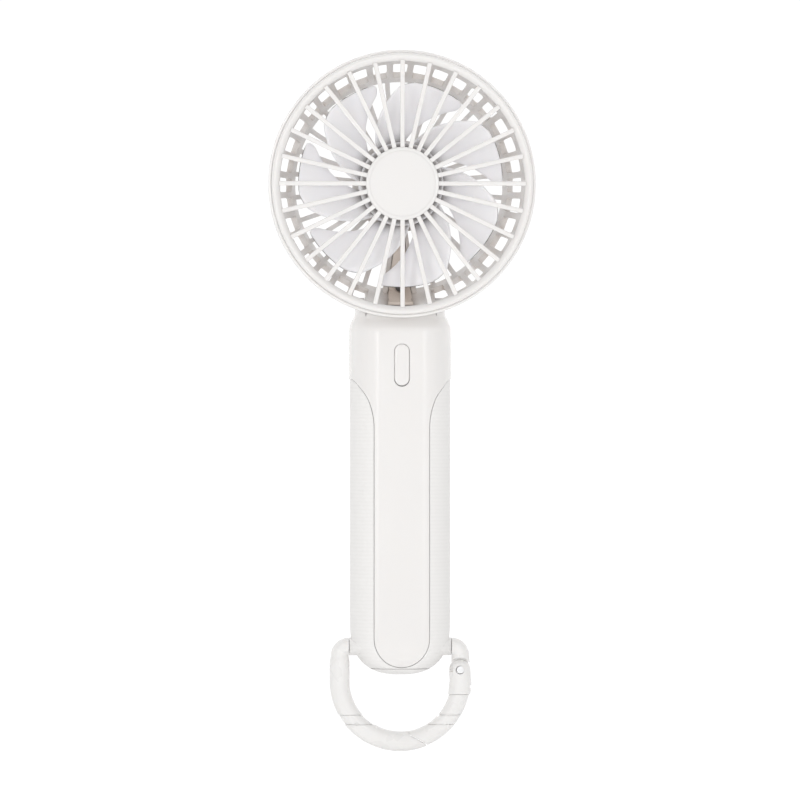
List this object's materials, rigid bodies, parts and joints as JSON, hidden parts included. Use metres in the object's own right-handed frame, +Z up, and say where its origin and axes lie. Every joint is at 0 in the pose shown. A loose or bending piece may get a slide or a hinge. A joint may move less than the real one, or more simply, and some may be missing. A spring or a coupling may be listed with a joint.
{
  "type": "handheld electric fan",
  "caption": "Handheld electric fan with a round caged head, a straight handle with a push button, and a hanging loop with a sprung gate.",
  "frame": {"origin": "under the lowest point of the hanging loop, on the mid-plane of the handle", "axes": "+Z up along the handle, the grille faces -Y, +X to the right seen from the grille side"},
  "size_m": [0.0916, 0.039, 0.2415],
  "materials": {
    "white_plastic": "semi-gloss moulded plastic",
    "loop_plastic": "satin moulded plastic",
    "band_plastic": "matte moulded plastic with a fine texture",
    "blade_plastic": "satin moulded plastic",
    "black_plastic": "matte",
    "steel": "plated",
    "brass": "turned",
    "copper_wire": "enamelled copper",
    "circuit_board": "solder mask",
    "cell_wrap": "shrink film",
    "foam": "foam",
    "red_lead": "cable sheath",
    "black_lead": "cable sheath"
  },
  "bodies": {
    "handle": {"head_housing": "white_plastic", "front_grille": "white_plastic", "hub_cap": "white_plastic", "rear_cap": "white_plastic", "wire_cover": "white_plastic", "wire_cover_screw": "steel", "bearing_sleeve": "brass", "bearing_front": "steel", "bearing_rear": "steel", "stator": "steel", "coil_1": "copper_wire", "coil_2": "copper_wire", "coil_3": "copper_wire", "coil_4": "copper_wire", "coil_5": "copper_wire", "coil_6": "copper_wire", "driver_board": "circuit_board", "front_shell": "white_plastic", "rear_shell": "white_plastic", "grip_band": "band_plastic", "tact_switch": "steel", "main_board": "circuit_board", "charge_board": "circuit_board", "usb_socket": "steel", "battery_cell": "cell_wrap", "battery_pad_front": "foam", "battery_pad_rear": "foam", "shell_screw_1": "steel", "shell_screw_2": "steel", "shell_screw_3": "steel", "shell_screw_4": "steel", "motor_lead_red": "red_lead", "motor_lead_black": "black_lead", "battery_lead_red": "red_lead", "battery_lead_black": "black_lead", "pivot_bush_left": "loop_plastic", "pivot_bush_right": "loop_plastic"},
    "rotor": {"impeller": "blade_plastic", "rotor_can": "steel", "magnet_ring": "black_plastic", "motor_shaft": "steel", "shaft_clip": "steel"},
    "button": {"power_button": "white_plastic", "switch_plunger": "black_plastic"},
    "loop": {"loop_frame": "loop_plastic", "loop_stub": "loop_plastic", "pivot_axle": "steel", "gate_pin": "steel"},
    "gate": {"gate": "loop_plastic", "gate_spring": "steel"}
  },
  "joints": [
    {"name": "fan_spin", "type": "hinge", "parent": "handle", "child": "rotor", "pos_m": [0, 0, 0.1957], "axis": [0, 1, 0], "continuous": true},
    {"name": "button_press", "type": "slide", "parent": "handle", "child": "button", "axis": [0, 1, 0], "range_m": [0, 0.0005], "stiffness_N_per_m": 400},
    {"name": "loop_swing", "type": "hinge", "parent": "handle", "child": "loop", "pos_m": [0, 0, 0.0362], "axis": [1, 0, 0], "range_deg": [-110, 110]},
    {"name": "gate_open", "type": "hinge", "parent": "loop", "child": "gate", "pos_m": [0.0207, 0, 0.0282], "axis": [0, 1, 0], "range_deg": [0, 25], "stiffness_Nm_per_rad": 0.02}
  ]
}
